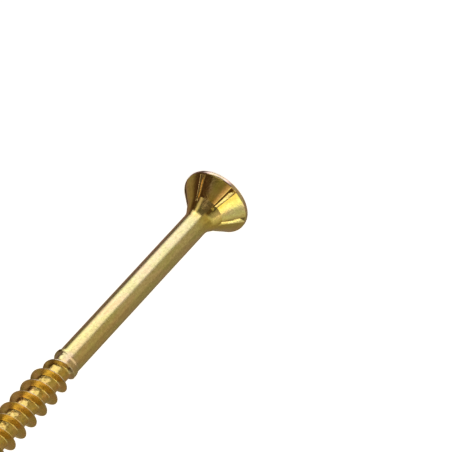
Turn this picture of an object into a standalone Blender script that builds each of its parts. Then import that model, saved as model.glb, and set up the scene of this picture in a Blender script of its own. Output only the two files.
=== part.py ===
"""A 5 x 90 mm countersunk wood screw, partly threaded, standing on its head.

The origin is the centre of the head's flat face and +Z runs along the axis to the point.
The real screw is one piece of steel. Its four named regions are modelled as closed
solids that meet face to face: head, shank, thread and point.
"""

import math

import bmesh
import bpy
from mathutils import Vector

MM = 0.001

# Lengths along the axis, from the head's flat face.
SCREW_LENGTH = 90.0 * MM
HEAD_END = 6.0 * MM
SHANK_END = 36.0 * MM
POINT_START = 83.5 * MM

# Head: a rim band, a main cone and a steeper neck cone that blends into the shank.
HEAD_RADIUS = 4.9 * MM
RIM_ROUND = 0.12 * MM
RIM_HEIGHT = 0.65 * MM
CONE_ANGLE = math.radians(39.0)
NECK_START_RADIUS = 2.8 * MM
NECK_ANGLE = math.radians(28.0)
NECK_FILLET = 3.0 * MM
HEAD_SEGMENTS = 48
ROUND_STEPS = 3

# Six-lobe drive recess.
RECESS_LOBES = 6
RECESS_LOBE_RADIUS = 2.25 * MM
RECESS_WAIST_RADIUS = 1.65 * MM
RECESS_DEPTH = 2.3 * MM
RECESS_CONE_DEPTH = 0.5 * MM
RECESS_TURN = math.radians(4.0)
POINTS_PER_LOBE = 8

# Pockets under the head: V grooves along the cone with one steep and one broad wall.
POCKET_COUNT = 6
FIRST_POCKET_ANGLE = math.radians(-98.0)
POCKET_DEPTH = 0.3 * MM
POCKET_STEEP_WIDTH = 0.32 * MM
POCKET_BROAD_WIDTH = 0.47 * MM
POCKET_FULL_DEPTH_START = 1.34 * MM
POCKET_FULL_DEPTH_END = 2.9 * MM
POCKET_END = 3.75 * MM
CUTTER_MARGIN = 0.6 * MM
CUTTER_OVERSHOOT = 0.1

# Shank and thread.
SHANK_RADIUS = 1.8 * MM
COLLAR_RADIUS = 2.0 * MM
COLLAR_RISE = 0.5 * MM
ROOT_RADIUS = 1.5 * MM
CREST_RADIUS = 2.5 * MM
PITCH = 2.4 * MM
CREST_HALF_LAND = 0.08 * MM
RIDGE_HALF_BASE = 0.52 * MM
THREAD_START_ANGLE = math.radians(-60.0)
FIRST_CREST = 36.12 * MM
CREST_GROWTH_START = 37.5 * MM
CREST_GROWTH_END = 41.75 * MM
GROOVE_RUN_IN = math.radians(75.0)
CREST_TAPER_START = 82.0 * MM
CREST_TAPER_POWER = 1.6
THREAD_SEGMENTS = 24
SHANK_SEGMENTS = 48
ROW_CLEARANCE = 0.08 * MM
SHARP_ANGLE = math.radians(20.0)

# Rows of the thread's mesh, as offsets from a crest's middle.
RIDGE_ROWS = (-RIDGE_HALF_BASE, -CREST_HALF_LAND, CREST_HALF_LAND, RIDGE_HALF_BASE)


def clear_scene():
    for obj in list(bpy.data.objects):
        bpy.data.objects.remove(obj, do_unlink=True)


def zinc(name, colour, roughness):
    """Yellow-passivated zinc on steel."""
    material = bpy.data.materials.new(name)
    material.use_nodes = True
    shader = material.node_tree.nodes["Principled BSDF"]
    shader.inputs["Base Color"].default_value = (*colour, 1.0)
    shader.inputs["Metallic"].default_value = 1.0
    shader.inputs["Roughness"].default_value = roughness
    return material


def shade(mesh):
    mesh.shade_smooth()
    mesh.set_sharp_from_angle(angle=SHARP_ANGLE)


def object_from(bm, name, material=None):
    mesh = bpy.data.meshes.new(name)
    bm.to_mesh(mesh)
    bm.free()
    obj = bpy.data.objects.new(name, mesh)
    bpy.context.scene.collection.objects.link(obj)
    if material:
        mesh.materials.append(material)
    shade(mesh)
    return obj


def arc(centre_r, centre_z, radius, start, end, steps):
    """Points (r, z) of an arc; an angle of 0 points outwards and 90 degrees along +Z."""
    angles = (start + (end - start) * i / steps for i in range(steps + 1))
    return [(centre_r + radius * math.cos(a), centre_z + radius * math.sin(a)) for a in angles]


def turned(profile, segments):
    """A closed solid from an (r, z) profile whose two ends lie on the axis."""
    bm = bmesh.new()
    points = [bm.verts.new((r, 0.0, z)) for r, z in profile]
    edges = [bm.edges.new(pair) for pair in zip(points, points[1:])]
    bmesh.ops.spin(
        bm, geom=points + edges, cent=(0, 0, 0), axis=(0, 0, 1), angle=math.tau, steps=segments
    )
    bmesh.ops.remove_doubles(bm, verts=bm.verts, dist=0.0001 * MM)
    bmesh.ops.recalc_face_normals(bm, faces=bm.faces)
    return bm


def cone_radius(z):
    """Radius of the head's main cone at z."""
    return HEAD_RADIUS - (z - RIM_HEIGHT) * math.tan(CONE_ANGLE)


def neck_start():
    return RIM_HEIGHT + (HEAD_RADIUS - NECK_START_RADIUS) / math.tan(CONE_ANGLE)


def neck_radius(z):
    """Radius of the neck cone at z."""
    return NECK_START_RADIUS - (z - neck_start()) * math.tan(NECK_ANGLE)


def head_profile():
    rim = arc(
        HEAD_RADIUS - RIM_ROUND, RIM_ROUND, RIM_ROUND, -math.pi / 2, 0.0, ROUND_STEPS
    )
    neck_length = (NECK_START_RADIUS - SHANK_RADIUS) / math.tan(NECK_ANGLE)
    fillet_end = neck_start() + neck_length + NECK_FILLET * math.tan(NECK_ANGLE / 2)
    fillet = arc(
        SHANK_RADIUS + NECK_FILLET,
        fillet_end,
        NECK_FILLET,
        math.pi + NECK_ANGLE,
        math.pi,
        ROUND_STEPS,
    )
    corners = [(HEAD_RADIUS, RIM_HEIGHT), (NECK_START_RADIUS, neck_start())]
    return [(0.0, 0.0), *rim, *corners, *fillet, (SHANK_RADIUS, HEAD_END), (0.0, HEAD_END)]


def recess_cutter():
    """The drive recess: a lobed prism with a shallow cone at its bottom."""
    count = RECESS_LOBES * POINTS_PER_LOBE
    middle = (RECESS_LOBE_RADIUS + RECESS_WAIST_RADIUS) / 2
    swing = (RECESS_LOBE_RADIUS - RECESS_WAIST_RADIUS) / 2
    bm = bmesh.new()
    loops = []
    for z in (-CUTTER_MARGIN, RECESS_DEPTH):
        loop = []
        for i in range(count):
            r = middle + swing * math.cos(math.tau * i / POINTS_PER_LOBE)
            angle = RECESS_TURN + math.tau * i / count
            loop.append(bm.verts.new((r * math.cos(angle), r * math.sin(angle), z)))
        loops.append(loop)
    outside, bottom = loops
    apex = bm.verts.new((0.0, 0.0, RECESS_DEPTH + RECESS_CONE_DEPTH))
    bm.faces.new(outside)
    for i in range(count):
        following = (i + 1) % count
        bm.faces.new((outside[i], outside[following], bottom[following], bottom[i]))
        bm.faces.new((bottom[i], bottom[following], apex))
    bmesh.ops.recalc_face_normals(bm, faces=bm.faces)
    return object_from(bm, "recess_cutter")


def beyond(first, second, share):
    """The point on the line from first to second that lies past second."""
    return tuple(b + (b - a) * share for a, b in zip(first, second))


def pocket_sections():
    """Sections of a pocket's cutter as (root (r, z), top (r, z), height of the top over the root).

    The root runs parallel to the cone, then out through the neck. The first section leans
    back to the rim, which gives the pocket its sloping end wall.
    """
    start = (cone_radius(POCKET_FULL_DEPTH_START) - POCKET_DEPTH, POCKET_FULL_DEPTH_START)
    rim = beyond(start, (HEAD_RADIUS, RIM_HEIGHT), CUTTER_OVERSHOOT)
    end = (cone_radius(POCKET_FULL_DEPTH_END) - POCKET_DEPTH, POCKET_FULL_DEPTH_END)
    out = beyond(end, (neck_radius(POCKET_END), POCKET_END), CUTTER_OVERSHOOT)
    height = POCKET_DEPTH + CUTTER_MARGIN
    return (
        (start, rim, rim[0] - cone_radius(rim[1]) + POCKET_DEPTH),
        (end, (end[0] + height, end[1]), height),
        (out, (out[0] + height, out[1]), height),
    )


def pocket_cutters():
    bm = bmesh.new()
    for pocket in range(POCKET_COUNT):
        angle = FIRST_POCKET_ANGLE + math.tau * pocket / POCKET_COUNT
        out = Vector((math.cos(angle), math.sin(angle), 0.0))
        side = Vector((math.sin(angle), -math.cos(angle), 0.0))
        rings = []
        for root, top, height in pocket_sections():
            flare = height / POCKET_DEPTH
            corners = (
                (*root, 0.0),
                (*top, -POCKET_STEEP_WIDTH * flare),
                (*top, POCKET_BROAD_WIDTH * flare),
            )
            rings.append(
                [bm.verts.new(out * r + side * t + Vector((0.0, 0.0, z))) for r, z, t in corners]
            )
        bm.faces.new(rings[0])
        bm.faces.new(reversed(rings[-1]))
        for low, high in zip(rings, rings[1:]):
            for i in range(3):
                j = (i + 1) % 3
                bm.faces.new((low[i], high[i], high[j], low[j]))
    return object_from(bm, "pocket_cutters")


def cut(obj, cutter):
    cutter.hide_render = True
    cutter.display_type = "WIRE"
    boolean = obj.modifiers.new(cutter.name, "BOOLEAN")
    boolean.operation = "DIFFERENCE"
    boolean.solver = "EXACT"
    boolean.object = cutter


def apply_cuts(obj):
    """Makes the cut shape the object's own mesh, so that the cuts' edges are sharp too."""
    cutters = [modifier.object for modifier in obj.modifiers]
    graph = bpy.context.evaluated_depsgraph_get()
    mesh = bpy.data.meshes.new_from_object(obj.evaluated_get(graph))
    obj.modifiers.clear()
    obj.data = mesh
    shade(mesh)
    for cutter in cutters:
        bpy.data.objects.remove(cutter, do_unlink=True)


def make_head():
    material = zinc("head_zinc", (0.50, 0.40, 0.16), 0.26)
    head = object_from(turned(head_profile(), HEAD_SEGMENTS), "head", material)
    cut(head, recess_cutter())
    cut(head, pocket_cutters())
    apply_cuts(head)


def make_shank():
    material = zinc("shank_zinc", (0.62, 0.53, 0.27), 0.22)
    profile = [(0.0, HEAD_END), (SHANK_RADIUS, HEAD_END), (SHANK_RADIUS, SHANK_END), (0.0, SHANK_END)]
    object_from(turned(profile, SHANK_SEGMENTS), "shank", material)


def smooth(x):
    x = min(max(x, 0.0), 1.0)
    return x * x * (3.0 - 2.0 * x)


def crest_radius(z):
    """The crest grows out of the collar and tapers away towards the point."""
    growth = smooth((z - CREST_GROWTH_START) / (CREST_GROWTH_END - CREST_GROWTH_START))
    radius = COLLAR_RADIUS + (CREST_RADIUS - COLLAR_RADIUS) * growth
    taper = max(0.0, (z - CREST_TAPER_START) / (SCREW_LENGTH - CREST_TAPER_START))
    return radius * (1.0 - taper**CREST_TAPER_POWER)


def root_radius(z, turns, turn_angle):
    """The collar before the first ridge, then a groove that deepens to the core."""
    if turns < 0.0:
        return COLLAR_RADIUS
    depth = smooth((turn_angle + math.tau * math.floor(turns)) / GROOVE_RUN_IN)
    core = ROOT_RADIUS * min(1.0, (SCREW_LENGTH - z) / (SCREW_LENGTH - POINT_START))
    return COLLAR_RADIUS + (core - COLLAR_RADIUS) * depth


def thread_radius(z, turn_angle):
    """Outer radius at height z and at an angle counted from where the thread starts."""
    turns = (z - FIRST_CREST) / PITCH - turn_angle / math.tau
    from_crest = abs(turns - round(turns)) * PITCH
    share = (RIDGE_HALF_BASE - from_crest) / (RIDGE_HALF_BASE - CREST_HALF_LAND)
    share = min(max(share, 0.0), 1.0)
    root = root_radius(z, turns, turn_angle)
    return root + (crest_radius(z) - root) * share


def thread_column(turn_angle, low_z, high_z):
    """Keys and heights of the helical rows that cross one column of the mesh."""
    rows = []
    for turn in range(-1, math.ceil(SCREW_LENGTH / PITCH)):
        for i, offset in enumerate(RIDGE_ROWS):
            z = FIRST_CREST + PITCH * (turn + turn_angle / math.tau) + offset
            if low_z + ROW_CLEARANCE < z < high_z - ROW_CLEARANCE:
                rows.append((turn * len(RIDGE_ROWS) + i, z))
    return rows


def strip(bm, left, right):
    """Faces between two columns of (key, vertex), both sorted by key."""
    i = j = 0
    while i < len(left) - 1 or j < len(right) - 1:
        next_left = left[i + 1][0] if i < len(left) - 1 else math.inf
        next_right = right[j + 1][0] if j < len(right) - 1 else math.inf
        corners = [left[i][1], right[j][1]]
        if next_right <= next_left:
            j += 1
            corners.append(right[j][1])
        if next_left <= next_right:
            i += 1
            corners.append(left[i][1])
        corners = list(dict.fromkeys(corners))
        if len(corners) > 2:
            bm.faces.new(corners)


def threaded(low_z, high_z, plain_rings):
    """A solid with the thread's surface between two flat ends.

    plain_rings are (z, r) rings below low_z. A zero radius at high_z makes a sharp point.
    """
    bm = bmesh.new()
    columns = []
    last_key = 1 + math.ceil(SCREW_LENGTH / PITCH) * len(RIDGE_ROWS)
    first_key = -last_key
    apex = bm.verts.new((0.0, 0.0, high_z)) if thread_radius(high_z, 0.0) < ROW_CLEARANCE else None
    for segment in range(THREAD_SEGMENTS):
        turn_angle = math.tau * segment / THREAD_SEGMENTS
        angle = THREAD_START_ANGLE + turn_angle

        def vertex(z, r):
            return bm.verts.new((r * math.cos(angle), r * math.sin(angle), z))

        column = [(first_key + i, vertex(z, r)) for i, (z, r) in enumerate(plain_rings)]
        column.append((first_key + len(plain_rings), vertex(low_z, thread_radius(low_z, turn_angle))))
        for key, z in thread_column(turn_angle, low_z, high_z):
            column.append((key, vertex(z, thread_radius(z, turn_angle))))
        top = apex or vertex(high_z, thread_radius(high_z, turn_angle))
        column.append((last_key, top))
        columns.append(column)
    ends = len(plain_rings) + 1
    for segment, column in enumerate(columns):
        following = columns[(segment + 1) % THREAD_SEGMENTS]
        if segment == THREAD_SEGMENTS - 1:
            helical = [(key - len(RIDGE_ROWS), v) for key, v in following[ends:-1]]
            following = following[:ends] + helical + following[-1:]
        strip(bm, column, following)
    bm.faces.new([column[0][1] for column in reversed(columns)])
    if not apex:
        bm.faces.new([column[-1][1] for column in columns])
    bmesh.ops.recalc_face_normals(bm, faces=bm.faces)
    return bm


def make_thread():
    material = zinc("thread_zinc", (0.52, 0.36, 0.11), 0.30)
    collar = [(SHANK_END, SHANK_RADIUS)]
    object_from(threaded(SHANK_END + COLLAR_RISE, POINT_START, collar), "thread", material)


def make_point():
    material = zinc("point_zinc", (0.52, 0.36, 0.11), 0.30)
    object_from(threaded(POINT_START, SCREW_LENGTH, []), "point", material)


def main():
    clear_scene()
    make_head()
    make_shank()
    make_thread()
    make_point()


main()
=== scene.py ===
"""The looks of a yellow-passivated wood screw: fine meshes, plated metal, light and camera.

The origin is the centre of the head's flat face and +Z runs along the axis to the point.
Azimuths in this file are measured round the axis from the side that faces the camera,
positive towards -X.
"""

import math
import random

import bpy
from mathutils import Matrix, Vector, noise


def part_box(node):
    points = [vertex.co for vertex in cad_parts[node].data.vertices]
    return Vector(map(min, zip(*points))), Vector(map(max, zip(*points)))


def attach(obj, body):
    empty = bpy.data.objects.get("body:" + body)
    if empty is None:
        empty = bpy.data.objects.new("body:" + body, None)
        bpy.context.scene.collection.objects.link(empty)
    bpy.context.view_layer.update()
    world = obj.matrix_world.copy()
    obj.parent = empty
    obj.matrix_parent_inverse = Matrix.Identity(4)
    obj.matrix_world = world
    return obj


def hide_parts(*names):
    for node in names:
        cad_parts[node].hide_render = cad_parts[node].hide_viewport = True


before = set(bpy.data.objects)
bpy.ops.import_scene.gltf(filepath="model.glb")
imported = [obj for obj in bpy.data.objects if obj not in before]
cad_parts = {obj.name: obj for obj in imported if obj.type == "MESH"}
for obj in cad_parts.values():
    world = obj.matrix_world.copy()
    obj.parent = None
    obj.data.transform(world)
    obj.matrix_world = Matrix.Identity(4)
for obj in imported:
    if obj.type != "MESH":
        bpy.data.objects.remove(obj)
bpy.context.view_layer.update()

MM = 0.001
TAU = math.tau

# Places along the axis, from the CAD nodes.
HEAD_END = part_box("head")[1].z
SHANK_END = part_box("shank")[1].z
POINT_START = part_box("point")[0].z
SCREW_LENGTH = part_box("point")[1].z

# Head.
HEAD_RADIUS = 4.9 * MM
RIM_ROUND = 0.3 * MM
RIM_HEIGHT = 0.65 * MM
RIM_BREAK = 0.11 * MM
CONE_SLOPE = math.tan(math.radians(39.0))
NECK_START_RADIUS = 2.8 * MM
NECK_ANGLE = math.radians(28.0)
NECK_FILLET = 3.0 * MM

# Six-lobe drive recess.
RECESS_LOBES = 6
RECESS_LOBE_RADIUS = 2.25 * MM
RECESS_WAIST_RADIUS = 1.65 * MM
RECESS_DEPTH = 2.3 * MM
RECESS_CONE_DEPTH = 0.5 * MM
RECESS_TURN = math.radians(4.0)
RECESS_ROUND = 0.07 * MM

# Pockets under the head.
POCKET_COUNT = 6
POCKET_STEP = TAU / POCKET_COUNT
FIRST_POCKET = math.radians(6.2)
POCKET_DEPTH = 0.36 * MM
STEEP_SPAN = math.radians(2.8)
BROAD_SPAN = math.radians(8.2)
LIP_ROUND = 0.016 * MM
LIP_ANGLES = tuple(math.radians(a) for a in (0.3, 0.7, 1.3, 2.2))
POCKET_RAMP_START = 0.68 * MM
POCKET_RAMP_END = 1.1 * MM
POCKET_FADE_START = 3.15 * MM
POCKET_FADE_END = 3.85 * MM

# How far the segments between the pockets stand out, and the heights that fade this.
RATCHET_HIGH = 0.04 * MM
RATCHET_LOW = -0.06 * MM
RATCHET_RISE = 1.6 * MM
RATCHET_FADE = 2.2 * MM
RATCHET_END = 3.9 * MM

# Painted shade: a dark colour in the pockets and on the rim's lower rounding, where shade falls.
# For each pocket: how dark, and how far up the broad wall.
POCKET_PAINTED_SHADE = ((1.0, 1.0), (0.45, 1.0), (0.8, 1.0), (0.6, 1.0), (0.9, 4.8), (0.4, 1.0))
SHADE_REACH_AT_RIM = 0.52
SHADE_REACH = 0.3
SHADE_REACH_RUN = 0.6 * MM
END_WALL_SHADE = 0.4
RIM_PAINTED_SHADE = 0.7
RIM_PAINTED_SHADE_HEIGHT = 0.24 * MM
RIM_PAINTED_SHADE_EDGE = 0.12 * MM

# Shank, and the collar where the thread starts.
SHANK_RADIUS = 1.8 * MM
SHANK_WAVE = 0.012 * MM
SHANK_COLUMNS = 96
SHANK_FINE_LENGTH = 1.5 * MM
COLLAR_RADIUS = 2.0 * MM
COLLAR_CROWN = 0.1 * MM
COLLAR_HALF = 0.75 * MM
COLLAR_START = 36.55 * MM
COLLAR_RISE = 0.4 * MM
COLLAR_TILT = 0.5 * MM
COLLAR_TILT_AZIMUTH = 0.55
COLLAR_WAVE = 0.1 * MM

# Thread.
ROOT_RADIUS = 1.5 * MM
CREST_RADIUS = 2.5 * MM
PITCH = 2.4 * MM
THREAD_START_ANGLE = math.radians(-60.0)
FIRST_CREST = 36.12 * MM
CREST_GROWTH_START = 37.5 * MM
CREST_GROWTH_END = 41.75 * MM
GROOVE_RUN_IN = math.radians(75.0)
CREST_TAPER_START = 82.0 * MM
CREST_TAPER_POWER = 1.6
CREST_SLANT = 0.055
CREST_LAND_HALF = 0.08
FIRST_RIDGE_RUN_IN = math.radians(50.0)
THREAD_COLUMNS = 96
GROOVE_WAVE = 0.045 * MM

# The crests' painted highlight, a pale colour: the share of the ridge's height it covers, where it
# starts, and where it fades to a share of its strength.
HIGHLIGHT_SHARE = 0.86
HIGHLIGHT_SHARE_RUN = 0.08
HIGHLIGHT_START = 36.5 * MM
HIGHLIGHT_START_RUN = 2.5 * MM
HIGHLIGHT_FADE_START = 43.0 * MM
HIGHLIGHT_FADE_RUN = 10.0 * MM
HIGHLIGHT_LEFT = 0.35

# Half of the ridge's section, from the middle of the crest: (distance, share of the height).
RIDGE_SECTION = (
    (0.0, 1.0),
    (0.035, 1.0),
    (0.07, 0.99),
    (0.095, 0.95),
    (0.125, 0.86),
    (0.2, 0.64),
    (0.3, 0.36),
    (0.37, 0.19),
    (0.43, 0.085),
    (0.5, 0.025),
    (0.58, 0.0),
)
RIDGE_OFFSETS = tuple(d * MM for d, _ in RIDGE_SECTION)
VALLEY_OFFSETS = tuple(d * MM for d in (0.68, 0.78, 0.89, 1.0, 1.11))

# Dents in every turn's groove: (turn angle, turns past the ridge).
DENT_PLACES = ((4.85, 0.36), (5.1, 0.48), (5.35, 0.56), (5.7, 0.42), (1.3, 0.5), (3.0, 0.45))
DENTED_TURNS = range(1, 19)
DENT_ANGLE_SHIFT = 0.25
DENT_TURNS_SHIFT = 0.06
DENT_WIDTHS = (0.1, 0.2)
DENT_DEPTHS = (0.02, 0.055)

# The film's colours along the axis, each with a pale and a deep shade. Every colour after the
# rim's takes over from the one before it between two heights.
RIM_SHADES = ((0.84, 0.64, 0.54), (0.80, 0.57, 0.45))
FILM_SHADES = (
    # The cone, then the neck.
    (0.55 * MM, 0.75 * MM, (0.89, 0.69, 0.27), (0.80, 0.57, 0.17)),
    (2.3 * MM, 2.9 * MM, (0.90, 0.68, 0.23), (0.82, 0.57, 0.16)),
    # The shank, then its far end.
    (4.6 * MM, 7.5 * MM, (0.84, 0.71, 0.42), (0.82, 0.67, 0.34)),
    (20.0 * MM, 32.0 * MM, (0.85, 0.71, 0.34), (0.82, 0.66, 0.28)),
    # The collar, then the thread.
    (35.8 * MM, 36.9 * MM, (0.80, 0.64, 0.40), (0.70, 0.54, 0.28)),
    (37.6 * MM, 39.0 * MM, (0.90, 0.63, 0.23), (0.82, 0.52, 0.14)),
)
# Colours painted on the head as shade and on the crests as a highlight.
PAINTED_SHADE_COLOUR = (0.20, 0.12, 0.03, 1.0)
CREST_HIGHLIGHT_COLOUR = (0.90, 0.78, 0.58, 1.0)

# Sockets of the Mix node that carry colours.
MIX_FIRST, MIX_SECOND, MIX_RESULT = 6, 7, 2

# Floor and light dome, in metres.
FLOOR_RADIUS = 6.0
FLOOR_WHITE = (0.93, 0.93, 0.93, 1.0)
DOME_RADIUS = 3.0
DOME_COLUMNS = 180
DOME_ROWS = 90

# Camera. Its elevation is in degrees, as the light panels' directions are.
CAMERA_DISTANCE = 588.3 * MM
CAMERA_ELEVATION = 38.38
CAMERA_ROLL = math.radians(222.43)
CAMERA_ASIDE = 1.136 * MM
CAMERA_BELOW = 3.519 * MM
CAMERA_LENS = 348.1


def smooth(x):
    x = min(max(x, 0.0), 1.0)
    return x * x * (3.0 - 2.0 * x)


def mix(a, b, share):
    return a + (b - a) * share


def polar(r, angle, z):
    return (r * math.cos(angle), r * math.sin(angle), z)


def solid(name, vertices, faces, material, crisp_height=None):
    """A smooth-shaded closed mesh. The edges that lie at crisp_height stay crisp."""
    mesh = bpy.data.meshes.new(name)
    mesh.from_pydata(vertices, [], faces)
    mesh.validate()
    mesh.shade_smooth()
    mesh.set_sharp_from_angle(angle=math.radians(50.0))
    if crisp_height is not None:
        for edge in mesh.edges:
            a, b = (mesh.vertices[v].co.z for v in edge.vertices)
            if max(abs(a - crisp_height), abs(b - crisp_height)) < 1e-4 * MM:
                edge.use_edge_sharp = True
    mesh.materials.append(material)
    piece = bpy.data.objects.new(name, mesh)
    bpy.context.scene.collection.objects.link(piece)
    return piece


def mark(piece, name, values):
    """Stores one number for each vertex, which the material reads by its name."""
    attribute = piece.data.attributes.new(name, "FLOAT", "POINT")
    attribute.data.foreach_set("value", values)


def revolve(columns):
    """Vertices and faces of a closed solid from columns of equal length.

    Each column is a list of (x, y, z) from one end of the axis to the other. The two end
    points are the same in every column.
    """
    count = len(columns)
    inner = len(columns[0]) - 2
    vertices = [columns[0][0], columns[0][-1]]
    for column in columns:
        vertices.extend(column[1:-1])
    faces = []
    for i in range(count):
        a = 2 + i * inner
        b = 2 + (i + 1) % count * inner
        faces.append((0, b, a))
        for k in range(inner - 1):
            faces.append((a + k, b + k, b + k + 1, a + k + 1))
        faces.append((1, a + inner - 1, b + inner - 1))
    return vertices, faces


# --- Head ---------------------------------------------------------------------------


def neck_start():
    return RIM_HEIGHT + (HEAD_RADIUS - NECK_START_RADIUS) / CONE_SLOPE


def fillet_end():
    neck = (NECK_START_RADIUS - SHANK_RADIUS) / math.tan(NECK_ANGLE)
    return neck_start() + neck + NECK_FILLET * math.tan(NECK_ANGLE / 2)


def plain_radius(z):
    """Radius of the head at z without its pockets."""
    if z < RIM_HEIGHT:
        return HEAD_RADIUS
    under = max(0.0, fillet_end() - z)
    if under < NECK_FILLET * math.sin(NECK_ANGLE):
        return SHANK_RADIUS + NECK_FILLET - math.sqrt(NECK_FILLET**2 - under**2)
    cone = HEAD_RADIUS - (z - RIM_HEIGHT) * CONE_SLOPE
    neck = NECK_START_RADIUS - (z - neck_start()) * math.tan(NECK_ANGLE)
    return max(cone, neck)


def nearest_pocket(azimuth):
    """The nearest pocket's number, and the angle from its root towards its broad wall."""
    turns = (azimuth - FIRST_POCKET) / POCKET_STEP
    return round(turns) % POCKET_COUNT, (turns - round(turns)) * POCKET_STEP


def pocket_cut(z, azimuth):
    """Depth of the pocket, a V with one steep and one broad wall."""
    _, offset = nearest_pocket(azimuth)
    wall = 1.0 - offset / BROAD_SPAN if offset > 0.0 else 1.0 + offset / STEEP_SPAN
    ramp = (z - POCKET_RAMP_START) / (POCKET_RAMP_END - POCKET_RAMP_START)
    fade = (POCKET_FADE_END - z) / (POCKET_FADE_END - POCKET_FADE_START)
    depth = POCKET_DEPTH * min(wall, ramp, fade) * plain_radius(z) / HEAD_RADIUS
    return LIP_ROUND * math.log1p(math.exp(max(-30.0, min(depth / LIP_ROUND, 60.0))))


def pocket_painted_shade(z, azimuth):
    """Share of painted shade in the pocket, on its steep wall, its root and its end wall.

    It ends softly on every side, over a part of the wall it lies on.
    """
    pocket, offset = nearest_pocket(azimuth)
    held, spread = POCKET_PAINTED_SHADE[pocket]
    left = smooth((offset + 1.2 * STEEP_SPAN) / (0.5 * STEEP_SPAN))
    along = smooth((z - POCKET_RAMP_START) / SHADE_REACH_RUN)
    reach = mix(SHADE_REACH_AT_RIM, SHADE_REACH, along)
    root = left * smooth((reach * spread * BROAD_SPAN - offset) / (0.16 * BROAD_SPAN))
    root *= smooth((POCKET_FADE_END - z) / (0.5 * MM))
    end = left * smooth((0.6 * BROAD_SPAN - offset) / (0.2 * BROAD_SPAN))
    end *= END_WALL_SHADE * smooth((POCKET_RAMP_END - z) / (0.3 * MM))
    return held * max(root, end) * smooth((z - RIM_HEIGHT) / (0.15 * MM))


def ratchet(z, azimuth):
    """Each segment stands a little higher after its pocket's broad wall than before the next."""
    _, offset = nearest_pocket(azimuth)
    pocket_span = BROAD_SPAN + STEEP_SPAN
    if -STEEP_SPAN < offset < BROAD_SPAN:
        along = (BROAD_SPAN - offset) / pocket_span
    else:
        along = (offset % POCKET_STEP - BROAD_SPAN) / (POCKET_STEP - pocket_span)
    rise = smooth((z - RIM_HEIGHT) / RATCHET_RISE) * smooth((RATCHET_END - z) / RATCHET_FADE)
    return mix(RATCHET_HIGH, RATCHET_LOW, along) * rise


def rim_break(z):
    """The small rounding where the rim's band meets the cone."""
    inside = max(0.0, 1.0 - abs(z - RIM_HEIGHT) / RIM_BREAK)
    return RIM_BREAK * CONE_SLOPE / 4 * inside * inside


def head_radius(z, azimuth):
    return plain_radius(z) + ratchet(z, azimuth) - pocket_cut(z, azimuth) - rim_break(z)


def head_azimuths():
    """Column azimuths, close together across each pocket."""
    offsets = []
    for wall, span, steps in ((-1, STEEP_SPAN, 6), (1, BROAD_SPAN, 16)):
        offsets.extend(wall * span * i / steps for i in range(steps + 1))
        offsets.extend(wall * (span + more) for more in LIP_ANGLES)
    plain_start = BROAD_SPAN + LIP_ANGLES[-1]
    plain_end = POCKET_STEP - STEEP_SPAN - LIP_ANGLES[-1]
    offsets.extend(mix(plain_start, plain_end, i / 20) for i in range(1, 20))
    offsets = sorted(set(round(o % POCKET_STEP, 9) for o in offsets))
    starts = [FIRST_POCKET + POCKET_STEP * k for k in range(POCKET_COUNT)]
    return [start + offset for start in starts for offset in offsets]


def recess_radius(angle):
    middle = (RECESS_LOBE_RADIUS + RECESS_WAIST_RADIUS) / 2
    swing = (RECESS_LOBE_RADIUS - RECESS_WAIST_RADIUS) / 2
    return middle + swing * math.cos(RECESS_LOBES * (angle - RECESS_TURN))


def head_heights():
    heights = []
    spans = (
        (RIM_ROUND, RIM_HEIGHT - RIM_BREAK, 4),
        (RIM_HEIGHT - RIM_BREAK, RIM_HEIGHT + RIM_BREAK, 8),
        (RIM_HEIGHT + RIM_BREAK, POCKET_RAMP_END, 20),
        (POCKET_RAMP_END, POCKET_FADE_START, 24),
        (POCKET_FADE_START, neck_start(), 3),
        (neck_start(), POCKET_FADE_END, 15),
        (POCKET_FADE_END, HEAD_END, 28),
    )
    for start, end, steps in spans:
        heights.extend(mix(start, end, i / steps) for i in range(1, steps + 1))
    return heights


def head_column(azimuth, heights):
    angle = -math.pi / 2 - azimuth
    lobe = recess_radius(angle)
    bottom = RECESS_DEPTH + RECESS_CONE_DEPTH
    column = [(0.0, 0.0, bottom)]
    for share in (0.3, 0.6, 0.85, 0.95):
        column.append(polar(lobe * share, angle, bottom - RECESS_CONE_DEPTH * share))
    for share in (0.985, 0.9, 0.7, 0.5, 0.3, 0.12):
        column.append(polar(lobe, angle, mix(RECESS_ROUND, RECESS_DEPTH, share)))
    for i in range(5):
        turn = math.pi / 2 * i / 4
        r = lobe + RECESS_ROUND * (1 - math.cos(turn))
        column.append(polar(r, angle, RECESS_ROUND * (1 - math.sin(turn))))
    inner = lobe + RECESS_ROUND
    outer = HEAD_RADIUS - RIM_ROUND
    for share in (0.1, 0.3, 0.5, 0.7, 0.9):
        column.append(polar(mix(inner, outer, share), angle, 0.0))
    for i in range(9):
        turn = math.pi / 2 * i / 8
        r = outer + RIM_ROUND * math.sin(turn)
        column.append(polar(r, angle, RIM_ROUND * (1 - math.cos(turn))))
    for z in heights:
        column.append(polar(head_radius(z, azimuth), angle, z))
    column.append((0.0, 0.0, HEAD_END))
    return column


def make_head(material):
    heights = head_heights()
    columns = [head_column(azimuth, heights) for azimuth in head_azimuths()]
    columns.reverse()
    vertices, faces = revolve(columns)
    piece = solid("screw_head", vertices, faces, material, neck_start())
    # A dark colour painted in as shade in the pockets and on the rim's lower rounding.
    painted_shades = []
    for x, y, z in vertices:
        if math.hypot(x, y) < SHANK_RADIUS:
            painted_shades.append(0.0)
        elif z > RIM_HEIGHT:
            painted_shades.append(pocket_painted_shade(z, math.atan2(-x, -y)))
        else:
            painted_shades.append(RIM_PAINTED_SHADE * smooth((RIM_PAINTED_SHADE_HEIGHT - z) / RIM_PAINTED_SHADE_EDGE))
    mark(piece, "painted_shade", painted_shades)
    return piece


# --- Shank --------------------------------------------------------------------------


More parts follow.
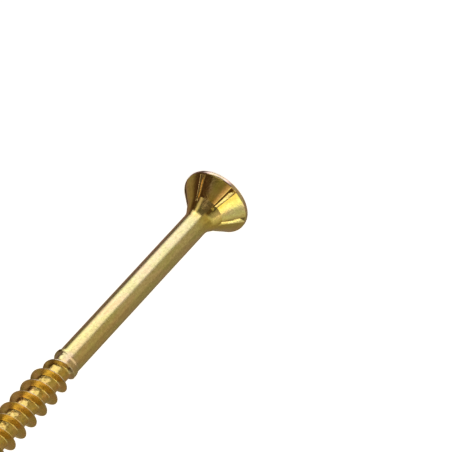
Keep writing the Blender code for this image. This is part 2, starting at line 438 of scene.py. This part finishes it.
def collar_edge(angle):
    """Height at which the collar rises from the shank: the plain end of the rolled thread."""
    azimuth = -math.pi / 2 - angle
    tilt = COLLAR_TILT * math.cos(azimuth - COLLAR_TILT_AZIMUTH)
    return COLLAR_START + tilt + COLLAR_WAVE * math.cos(3 * azimuth + 0.5)


def body_radius(z, angle):
    """Radius of the shank, and of the collar, which is crowned like a barrel."""
    below = z - collar_edge(angle)
    crown = min(1.0, (below / COLLAR_HALF - 1.0) ** 2)
    rise = smooth(below / COLLAR_RISE + 0.5)
    return mix(SHANK_RADIUS, COLLAR_RADIUS - COLLAR_CROWN * crown, rise)


def shank_wave(z, angle):
    """The slight unevenness that drawing leaves."""
    place = Vector((math.cos(angle) * 1.3, math.sin(angle) * 1.3, z / (9.0 * MM)))
    ends = smooth((z - HEAD_END) / (2.0 * MM)) * smooth((SHANK_END - z) / (2.0 * MM))
    return noise.noise(place) * SHANK_WAVE * ends


def make_shank(material):
    fine_start = SHANK_END - SHANK_FINE_LENGTH
    heights = [mix(HEAD_END, fine_start, i / 50) for i in range(51)]
    heights.extend(mix(fine_start, SHANK_END, i / 20) for i in range(1, 21))
    columns = []
    for i in range(SHANK_COLUMNS):
        angle = THREAD_START_ANGLE + TAU * i / SHANK_COLUMNS
        column = [(0.0, 0.0, HEAD_END)]
        for z in heights:
            column.append(polar(body_radius(z, angle) + shank_wave(z, angle), angle, z))
        column.append((0.0, 0.0, SHANK_END))
        columns.append(column)
    vertices, faces = revolve(columns)
    return solid("screw_shank", vertices, faces, material)


# --- Thread and point ---------------------------------------------------------------


def crest_radius(z):
    growth = smooth((z - CREST_GROWTH_START) / (CREST_GROWTH_END - CREST_GROWTH_START))
    radius = mix(COLLAR_RADIUS, CREST_RADIUS, growth)
    taper = max(0.0, (z - CREST_TAPER_START) / (SCREW_LENGTH - CREST_TAPER_START))
    return radius * (1.0 - taper**CREST_TAPER_POWER)


def root_radius(z, angle, turns, turn_angle):
    body = body_radius(z, angle)
    if turns < 0.0:
        return body
    depth = smooth((turn_angle + TAU * math.floor(turns)) / GROOVE_RUN_IN)
    core = ROOT_RADIUS * min(1.0, (SCREW_LENGTH - z) / (SCREW_LENGTH - POINT_START))
    return mix(body, core, depth)


def ridge_share(offset):
    """Share of the ridge's height at an offset from its middle, in millimetres."""
    distance = abs(offset)
    previous = RIDGE_SECTION[0]
    for point in RIDGE_SECTION[1:]:
        if distance < point[0]:
            along = (distance - previous[0]) / (point[0] - previous[0])
            slant = smooth((CREST_LAND_HALF - offset) / (2 * CREST_LAND_HALF))
            land = 1.0 - CREST_SLANT * slant
            return mix(previous[1], point[1], along) * land
        previous = point
    return 0.0


def make_dents():
    """Small dents, much the same in every turn: (turns, turn angle, width, depth)."""
    rng = random.Random(7)
    dents = []
    for turn in DENTED_TURNS:
        for middle, offset in DENT_PLACES:
            turns = turn + offset + rng.uniform(-DENT_TURNS_SHIFT, DENT_TURNS_SHIFT)
            turn_angle = (middle + rng.uniform(-DENT_ANGLE_SHIFT, DENT_ANGLE_SHIFT)) % TAU
            width = rng.uniform(*DENT_WIDTHS) * MM
            depth = rng.uniform(*DENT_DEPTHS) * MM
            dents.append((turns, turn_angle, width, depth))
    return dents


DENTS = make_dents()


def dent_depth(turns, turn_angle):
    total = 0.0
    for dent_turns, dent_angle, width, depth in DENTS:
        up = (turns - dent_turns) * PITCH
        around = (turn_angle - dent_angle) * ROOT_RADIUS
        if abs(up) < 3 * width and abs(around) < 3 * width:
            total += depth * math.exp(-(up * up + around * around) / (width * width))
    return total


def groove_wave(z, angle):
    """The beaten look that rolling leaves in the groove."""
    place = Vector((math.cos(angle) * 3.6, math.sin(angle) * 3.6, z / (0.45 * MM)))
    return noise.noise(place) * GROOVE_WAVE


def ridge_at(z, turn_angle):
    """Turns from the first ridge, and the share of the ridge's height there."""
    turns = (z - FIRST_CREST) / PITCH - turn_angle / TAU
    ridge = round(turns)
    share = ridge_share((turns - ridge) * PITCH / MM)
    if ridge <= 0:
        share *= smooth(turn_angle / FIRST_RIDGE_RUN_IN) if ridge == 0 else 0.0
    return turns, share


def painted_crest_highlight(z, turn_angle):
    """How strongly the crest is painted pale as a highlight: unevenly, and less towards the point.
    """
    turns, share = ridge_at(z, turn_angle)
    place = Vector((math.cos(turn_angle) * 2.2, math.sin(turn_angle) * 2.2, turns * 0.9))
    uneven = smooth(0.6 + 1.1 * noise.noise(place))
    along = smooth((z - HIGHLIGHT_START) / HIGHLIGHT_START_RUN)
    along *= mix(1.0, HIGHLIGHT_LEFT, smooth((z - HIGHLIGHT_FADE_START) / HIGHLIGHT_FADE_RUN))
    top = smooth((share - HIGHLIGHT_SHARE) / HIGHLIGHT_SHARE_RUN)
    return top * uneven * mix(0.3, 1.0, along)


def thread_radius(z, turn_angle):
    angle = THREAD_START_ANGLE + turn_angle
    turns, share = ridge_at(z, turn_angle)
    root = root_radius(z, angle, turns, turn_angle)
    radius = mix(root, max(root, crest_radius(z)), share)
    if turns < 0.0 or z > POINT_START - 2.0 * MM:
        return radius
    rough = groove_wave(z, angle) - dent_depth(turns, turn_angle)
    return radius + rough * (1.0 - share) * smooth((CREST_RADIUS - radius) / (0.5 * MM))


def row_offsets():
    offsets = sorted(set(RIDGE_OFFSETS + VALLEY_OFFSETS))
    return [-o for o in reversed(offsets) if o > 0.0] + offsets + [PITCH / 2]


def thread_column(turn_angle, low_z, high_z, offsets):
    """Rows of one column: (key, z). Rows of one key make a helical line, turn by turn."""
    clearance = 0.03 * MM
    rows = []
    for turn in range(-2, math.ceil(SCREW_LENGTH / PITCH)):
        for i, offset in enumerate(offsets):
            z = FIRST_CREST + PITCH * (turn + turn_angle / TAU) + offset
            if low_z + clearance < z < high_z - clearance:
                rows.append((turn * len(offsets) + i, z))
    return rows


def strip(left, right):
    """Faces between two columns of (key, vertex index), both sorted by key."""
    faces = []
    i = j = 0
    while i < len(left) - 1 or j < len(right) - 1:
        next_left = left[i + 1][0] if i < len(left) - 1 else math.inf
        next_right = right[j + 1][0] if j < len(right) - 1 else math.inf
        corners = [left[i][1], right[j][1]]
        if next_right <= next_left:
            j += 1
            corners.append(right[j][1])
        if next_left <= next_right:
            i += 1
            corners.append(left[i][1])
        corners = list(dict.fromkeys(corners))
        if len(corners) > 2:
            faces.append(corners)
    return faces


def threaded(name, low_z, high_z, material):
    """A closed solid with the thread's surface between two flat ends, or a sharp point."""
    offsets = row_offsets()
    sharp = thread_radius(high_z, 0.0) < 0.01 * MM
    vertices = [(0.0, 0.0, low_z), (0.0, 0.0, high_z)]
    crest_highlight = [0.0, 0.0]
    first_key = -3 * len(offsets)
    last_key = len(offsets) * (2 + math.ceil(SCREW_LENGTH / PITCH))
    columns = []
    for i in range(THREAD_COLUMNS):
        turn_angle = TAU * i / THREAD_COLUMNS
        angle = THREAD_START_ANGLE + turn_angle
        rows = [(first_key, low_z)]
        rows.extend(thread_column(turn_angle, low_z, high_z, offsets))
        if not sharp:
            rows.append((last_key, high_z))
        column = []
        for key, z in rows:
            column.append((key, len(vertices)))
            vertices.append(polar(thread_radius(z, turn_angle), angle, z))
            # The pale colour painted on the crests as a highlight.
            crest_highlight.append(painted_crest_highlight(z, turn_angle))
        if sharp:
            column.append((last_key, 1))
        columns.append(column)
    faces = []
    for i, column in enumerate(columns):
        following = columns[(i + 1) % THREAD_COLUMNS]
        if i == THREAD_COLUMNS - 1:
            # A full turn on, each helical line continues in the row one turn further up.
            middle = [(key - len(offsets), v) for key, v in following[1:-1]]
            following = [following[0], *middle, following[-1]]
        faces.extend(strip(column, following))
        faces.append((0, following[0][1], column[0][1]))
        if not sharp:
            faces.append((1, column[-1][1], following[-1][1]))
    piece = solid(name, vertices, faces, material)
    mark(piece, "crest_highlight", crest_highlight)
    return piece


# --- Materials ----------------------------------------------------------------------


def node(tree, kind, inputs=(), **settings):
    made = tree.nodes.new(kind)
    for key, value in settings.items():
        setattr(made, key, value)
    for socket, value in dict(inputs).items():
        if isinstance(value, bpy.types.NodeSocket):
            tree.links.new(value, made.inputs[socket])
        else:
            made.inputs[socket].default_value = value
    return made


def ramp(tree, fac, stops):
    made = node(tree, "ShaderNodeValToRGB", {"Fac": fac})
    elements = made.color_ramp.elements
    while len(elements) < len(stops):
        elements.new(0.5)
    for element, (position, colour) in zip(elements, stops):
        element.position = position
        element.color = (*colour, 1.0)
    return made.outputs["Color"]


def scaled(tree, factors, scale, detail=3.0, roughness=0.5, distortion=0.0):
    """Noise on the object's own coordinates, in millimetres stretched by factors."""
    place = node(tree, "ShaderNodeTexCoord").outputs["Object"]
    mapped = node(
        tree,
        "ShaderNodeMapping",
        {"Vector": place, "Scale": tuple(f / MM for f in factors)},
    ).outputs["Vector"]
    made = node(
        tree,
        "ShaderNodeTexNoise",
        {
            "Vector": mapped,
            "Scale": scale,
            "Detail": detail,
            "Roughness": roughness,
            "Distortion": distortion,
        },
    )
    return made.outputs["Fac"]


def along_axis(tree, start, end):
    """0 below start and 1 above end, along the screw's axis."""
    place = node(tree, "ShaderNodeTexCoord").outputs["Object"]
    z = node(tree, "ShaderNodeSeparateXYZ", {"Vector": place}).outputs["Z"]
    made = node(
        tree,
        "ShaderNodeMapRange",
        {"Value": z, "From Min": start, "From Max": end},
        interpolation_type="SMOOTHSTEP",
    )
    return made.outputs["Result"]


def blended(tree, factor, first, second, blend_type="MIX"):
    made = node(
        tree,
        "ShaderNodeMix",
        {"Factor": factor, MIX_FIRST: first, MIX_SECOND: second},
        data_type="RGBA",
        blend_type=blend_type,
    )
    return made.outputs[MIX_RESULT]


def film_colour(tree, film, pale, deep):
    """The film's colour: it drifts from green to pink and gold with its thickness."""
    green = tuple(p * f for p, f in zip(pale, (0.93, 1.03, 0.86)))
    pink = tuple(p * f for p, f in zip(pale, (1.03, 0.94, 1.0)))
    stops = ((0.28, deep), (0.42, green), (0.52, pale), (0.62, pink), (0.75, deep))
    return ramp(tree, film, stops)


def zinc(name, rough, draw, pit):
    """Yellow chromate over zinc, in the rim's, head's, shank's and thread's shades.

    rough holds the lowest and highest roughness, draw is the strength of the lengthwise draw
    lines, and pit that of the fine pitting.
    """
    material = bpy.data.materials.new(name)
    material.use_nodes = True
    tree = material.node_tree
    shader = tree.nodes["Principled BSDF"]
    shader.inputs["Metallic"].default_value = 1.0

    film = scaled(tree, (1.0, 1.0, 0.45), 0.42, detail=4.0, roughness=0.6, distortion=0.4)
    colour = film_colour(tree, film, *RIM_SHADES)
    for start, end, pale, deep in FILM_SHADES:
        shade = film_colour(tree, film, pale, deep)
        colour = blended(tree, along_axis(tree, start, end), colour, shade)
    mottle = scaled(tree, (1.0, 1.0, 0.8), 3.2, detail=5.0, roughness=0.65)
    tone = ramp(tree, mottle, ((0.3, (0.80, 0.78, 0.70)), (0.7, (1.10, 1.10, 1.10))))
    colour = blended(tree, 1.0, colour, tone, "MULTIPLY")
    # A dark colour painted in as shade in the head's pockets and on its rim.
    painted_shade = node(tree, "ShaderNodeAttribute", attribute_name="painted_shade").outputs["Fac"]
    colour = blended(tree, painted_shade, colour, PAINTED_SHADE_COLOUR)
    # A pale colour painted on the crests as a highlight.
    crest_highlight = node(tree, "ShaderNodeAttribute", attribute_name="crest_highlight").outputs["Fac"]
    colour = blended(tree, crest_highlight, colour, CREST_HIGHLIGHT_COLOUR)
    tree.links.new(colour, shader.inputs["Base Color"])

    grain = scaled(tree, (1.0, 1.0, 0.5), 2.1, detail=4.0, roughness=0.7)
    roughness = node(
        tree,
        "ShaderNodeMapRange",
        {"Value": grain, "From Min": 0.3, "From Max": 0.7, "To Min": rough[0], "To Max": rough[1]},
    ).outputs["Result"]
    tree.links.new(roughness, shader.inputs["Roughness"])

    lines = scaled(tree, (1.0, 1.0, 0.04), 9.0, detail=3.0, roughness=0.6)
    drawn = node(
        tree,
        "ShaderNodeBump",
        {"Height": lines, "Strength": draw, "Distance": 0.02 * MM},
    ).outputs["Normal"]
    pits = scaled(tree, (1.0, 1.0, 1.0), 5.0, detail=4.0, roughness=0.6)
    bumped = node(
        tree,
        "ShaderNodeBump",
        {"Height": pits, "Strength": pit, "Distance": 0.03 * MM, "Normal": drawn},
    ).outputs["Normal"]
    tree.links.new(bumped, shader.inputs["Normal"])
    return material


# --- Stage, light and camera --------------------------------------------------------


def make_stage():
    """A pale floor under a pale sky. The metal sees the light dome instead of them."""
    bpy.ops.mesh.primitive_circle_add(vertices=64, radius=FLOOR_RADIUS, fill_type="NGON")
    floor = bpy.context.object
    floor.name = "floor"
    material = bpy.data.materials.new("floor_white")
    material.use_nodes = True
    shader = material.node_tree.nodes["Principled BSDF"]
    shader.inputs["Base Color"].default_value = FLOOR_WHITE
    shader.inputs["Roughness"].default_value = 0.9
    shader.inputs["Specular IOR Level"].default_value = 0.0
    shader.inputs["Emission Color"].default_value = FLOOR_WHITE
    shader.inputs["Emission Strength"].default_value = 0.95
    floor.data.materials.append(material)
    floor.visible_glossy = False
    floor.visible_diffuse = False
    floor.visible_shadow = False
    world = bpy.data.worlds.new("sky")
    world.use_nodes = True
    world.node_tree.nodes["Background"].inputs["Color"].default_value = (1.0, 1.0, 1.0, 1.0)
    bpy.context.scene.world = world


def direction(azimuth, elevation):
    """Unit vector towards a place, in degrees, as seen from the screw."""
    a, e = math.radians(azimuth), math.radians(elevation)
    return Vector((-math.sin(a) * math.cos(e), -math.cos(a) * math.cos(e), math.sin(e)))


# Soft-edged light panels on the dome: (azimuths, elevations, edge widths, colour). All but
# the colours are in degrees.
PANELS = (
    # The key light, low on the +X side.
    ((-94, -7), (-90, -18), (18, 9), (1.24, 1.25, 1.30)),
    # A narrow strip that rises from the key light, and the reflector above it.
    ((-74, -58), (-34, 13), (12, 8), (0.78, 0.76, 0.68)),
    ((-54, -25), (21.5, 27), (6, 4), (2.7, 2.45, 2.5)),
    # The window, high on the -X side: its bright middle, its cool part, the narrow bright
    # strip under it, and its dim far side.
    ((22, 66), (26, 50), (12, 8), (1.20, 1.08, 0.60)),
    ((44, 70), (26, 42), (12, 8), (0.35, 0.52, 0.60)),
    ((64, 71), (13, 26), (4, 6), (2.1, 1.95, 1.9)),
    ((66, 122), (15, 36), (14, 12), (0.43, 0.48, 0.50)),
    # The wall between the window and the reflector, in three parts.
    ((-2, 30), (28, 62), (22, 8), (0.73, 0.55, 0.40)),
    ((-42, 0), (28, 62), (16, 8), (0.12, 0.12, 0.05)),
    ((-56, 4), (-14, 22), (16, 10), (0.05, 0.07, 0.07)),
    # A pale band under the window.
    ((30, 106), (1, 18), (18, 12), (0.36, 0.37, 0.36)),
    # The room on the -X side, from the front to the back.
    ((0, 62), (-90, 6), (16, 14), (0.34, 0.31, 0.18)),
    ((62, 124), (-90, 12), (30, 14), (0.24, 0.22, 0.13)),
    ((124, 180), (-90, 58), (24, 14), (0.19, 0.17, 0.12)),
    # A pale floor in front.
    ((-10, 90), (-90, -60), (40, 14), (0.80, 0.74, 0.62)),
    # The room at the back on the +X side: low, level and high.
    ((180, 242), (-90, -14), (20, 16), (0.17, 0.12, 0.11)),
    ((180, 242), (-14, 18), (20, 14), (0.19, 0.18, 0.10)),
    ((208, 248), (28, 62), (16, 10), (0.26, 0.23, 0.19)),
    # A tall light at the back.
    ((180, 192), (-24, 50), (12, 14), (0.90, 0.86, 0.74)),
    # The ceiling.
    ((0, 360), (64, 95), (10, 16), (0.31, 0.22, 0.09)),
)
AMBIENT = (0.062, 0.036, 0.018)


def edged(value, limits, soft):
    """1 inside the limits and 0 outside them, with a smooth edge."""
    rise = smooth((value - limits[0]) / soft + 0.5)
    fall = smooth((limits[1] - value) / soft + 0.5)
    return rise * fall


def light_towards(azimuth, elevation):
    """The dome's colour in a direction: the sum of its panels over a dim warm ground."""
    light = list(AMBIENT)
    for azimuths, elevations, soft, colour in PANELS:
        share = sum(edged(azimuth + turn, azimuths, soft[0]) for turn in (-360, 0, 360))
        share *= edged(elevation, elevations, soft[1])
        for i in range(3):
            light[i] += share * colour[i]
    return (*light, 1.0)


def make_light():
    """A dome of soft light panels, seen by the metal only."""
    mesh = bpy.data.meshes.new("light_dome")
    vertices = []
    colours = []
    for j in range(DOME_ROWS + 1):
        elevation = mix(-90.0, 90.0, j / DOME_ROWS)
        for i in range(DOME_COLUMNS + 1):
            azimuth = mix(-180.0, 180.0, i / DOME_COLUMNS)
            vertices.append(direction(azimuth, elevation) * DOME_RADIUS)
            colours.extend(light_towards(azimuth, elevation))
    faces = []
    for j in range(DOME_ROWS):
        for i in range(DOME_COLUMNS):
            a = j * (DOME_COLUMNS + 1) + i
            faces.append((a, a + 1, a + DOME_COLUMNS + 2, a + DOME_COLUMNS + 1))
    mesh.from_pydata(vertices, [], faces)
    attribute = mesh.color_attributes.new("light", "FLOAT_COLOR", "POINT")
    attribute.data.foreach_set("color", colours)
    material = bpy.data.materials.new("light_dome")
    material.use_nodes = True
    tree = material.node_tree
    shader = tree.nodes["Principled BSDF"]
    shader.inputs["Base Color"].default_value = (0.0, 0.0, 0.0, 1.0)
    shader.inputs["Specular IOR Level"].default_value = 0.0
    shader.inputs["Emission Strength"].default_value = 1.0
    colour = node(tree, "ShaderNodeAttribute", attribute_name="light").outputs["Color"]
    tree.links.new(colour, shader.inputs["Emission Color"])
    mesh.materials.append(material)
    dome = bpy.data.objects.new("light_dome", mesh)
    bpy.context.scene.collection.objects.link(dome)
    dome.visible_camera = False
    dome.visible_shadow = False


def make_camera():
    data = bpy.data.cameras.new("camera")
    data.lens = CAMERA_LENS
    data.sensor_width = 36.0
    data.clip_start = 0.05
    data.clip_end = 20.0
    camera = bpy.data.objects.new("camera", data)
    forward = -direction(0.0, CAMERA_ELEVATION)
    level_right = Vector((1.0, 0.0, 0.0))
    level_up = level_right.cross(forward)
    right = level_right * math.cos(CAMERA_ROLL) + level_up * math.sin(CAMERA_ROLL)
    up = right.cross(forward)
    place = right * CAMERA_ASIDE - up * CAMERA_BELOW - forward * CAMERA_DISTANCE
    turn = Matrix((right, up, -forward)).transposed().to_4x4()
    camera.matrix_world = Matrix.Translation(place) @ turn
    bpy.context.scene.collection.objects.link(camera)
    bpy.context.scene.camera = camera
    bpy.context.scene.view_settings.view_transform = "Standard"


def main():
    head_zinc = zinc("yellow_zinc_head", rough=(0.13, 0.21), draw=0.0, pit=0.3)
    shank_zinc = zinc("yellow_zinc_shank", rough=(0.22, 0.28), draw=0.35, pit=0.15)
    thread_zinc = zinc("yellow_zinc_thread", rough=(0.20, 0.30), draw=0.0, pit=0.5)
    pieces = (
        (make_head(head_zinc), "head", "head_zinc"),
        (make_shank(shank_zinc), "shank", "shank_zinc"),
        (
            threaded("screw_thread", SHANK_END, POINT_START, thread_zinc),
            "thread",
            "thread_zinc",
        ),
        (
            threaded("screw_point", POINT_START, SCREW_LENGTH, thread_zinc),
            "point",
            "point_zinc",
        ),
    )
    for piece, cad_node, slot in pieces:
        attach(piece, "root")
        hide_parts(cad_node)
    make_stage()
    make_light()
    make_camera()


main()
